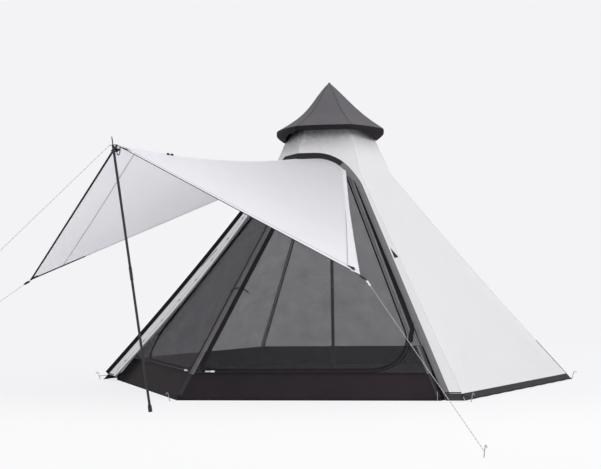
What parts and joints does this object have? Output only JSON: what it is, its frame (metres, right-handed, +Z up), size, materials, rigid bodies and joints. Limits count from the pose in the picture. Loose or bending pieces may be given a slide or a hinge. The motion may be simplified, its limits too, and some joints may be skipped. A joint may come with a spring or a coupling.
{
  "type": "camping tent",
  "caption": "Hexagonal pyramid tent on a centre pole: meshed inner tent with hinged doors, flysheet with a vented peak cap, and a front awning on its own pole and guy lines.",
  "frame": {"origin": "on the ground under the centre pole, on the underside of the tub floor", "axes": "+Z up; the front face with the larger door looks towards -Y; +X is to the right of someone facing that door"},
  "size_m": [5.2439, 5.5662, 2.352],
  "materials": {
    "fly_cloth": "matte",
    "insect_mesh": "matte",
    "tub_cloth": "matte",
    "cap_cloth": "matte",
    "dark_binding": "matte",
    "skirt_cloth": "matte",
    "black_steel": "satin",
    "grey_steel": "satin",
    "pale_plastic": "satin",
    "black_rubber": "matte",
    "guy_cord": "matte"
  },
  "bodies": {
    "tent": {"tub_floor": "tub_cloth", "inner_wall_front": "insect_mesh", "inner_wall_left_front": "insect_mesh", "inner_wall_right_front": "insect_mesh", "inner_wall_right_rear": "insect_mesh", "inner_wall_rear": "insect_mesh", "inner_wall_left_rear": "insect_mesh", "inner_peak_collar": "dark_binding", "front_door_zip_tape": "dark_binding", "left_front_door_zip_tape": "dark_binding", "fly_right_front": "fly_cloth", "fly_right_rear": "fly_cloth", "fly_rear": "fly_cloth", "fly_left_rear": "fly_cloth", "skirt_right_front": "skirt_cloth", "skirt_right_rear": "skirt_cloth", "skirt_rear": "skirt_cloth", "skirt_left_rear": "skirt_cloth", "fly_front_strip": "fly_cloth", "fly_front_yoke": "fly_cloth", "fly_front_zip": "dark_binding", "fly_left_front_strip": "fly_cloth", "fly_left_front_yoke": "fly_cloth", "fly_left_front_zip": "dark_binding", "fly_left_ridge_webbing": "dark_binding", "vent_cap": "cap_cloth", "cap_rim_hoop": "dark_binding", "centre_pole_foot": "black_rubber", "centre_pole_lower": "black_steel", "centre_pole_upper": "black_steel", "centre_pole_finial": "black_rubber", "awning_left_panel": "fly_cloth", "awning_right_panel": "fly_cloth", "awning_tip_tab": "dark_binding", "awning_left_tab": "dark_binding", "awning_right_tab": "dark_binding", "awning_pole_foot": "black_rubber", "awning_pole_lower": "black_steel", "awning_pole_upper": "black_steel", "guy_line_tip": "guy_cord", "guy_line_left": "guy_cord", "guy_line_right": "guy_cord", "guy_peg_tip": "grey_steel", "guy_peg_left": "grey_steel", "guy_peg_right": "grey_steel", "peg_right": "grey_steel", "peg_rear_right": "grey_steel", "peg_rear_left": "grey_steel", "peg_left": "grey_steel", "peg_front_left": "grey_steel", "peg_front_right": "grey_steel", "peg_inner_front_right": "grey_steel", "strap_left": "dark_binding", "strap_front_left": "dark_binding", "strap_front_right": "dark_binding"},
    "front_door": {"front_door": "insect_mesh"},
    "left_door": {"left_front_door": "insect_mesh"},
    "front_slider": {"front_door_slider": "pale_plastic"},
    "left_slider": {"left_front_door_slider": "pale_plastic"},
    "guy_runner": {"guy_runner_right": "pale_plastic"}
  },
  "joints": [
    {"name": "front_door_swing", "type": "hinge", "parent": "tent", "child": "front_door", "pos_m": [-0.75847, -1.3976, 0.19048], "axis": [-0.3204, -0.555, -0.7676], "range_deg": [0, 80], "deforming": ["front_door"]},
    {"name": "left_door_swing", "type": "hinge", "parent": "tent", "child": "left_door", "pos_m": [-0.83113, -1.35565, 0.19048], "axis": [0.3204, 0.555, 0.7676], "range_deg": [0, 70], "deforming": ["left_front_door"]},
    {"name": "front_zip_slide", "type": "slide", "parent": "tent", "child": "front_slider", "axis": [1, 0, 0], "range_m": [0, 1.1]},
    {"name": "left_zip_slide", "type": "slide", "parent": "tent", "child": "left_slider", "axis": [-0.5, 0.866, 0], "range_m": [0, 0.9]},
    {"name": "guy_runner_slide", "type": "slide", "parent": "tent", "child": "guy_runner", "axis": [0.3565, -0.8391, -0.4108], "range_m": [0, 1.7]}
  ]
}
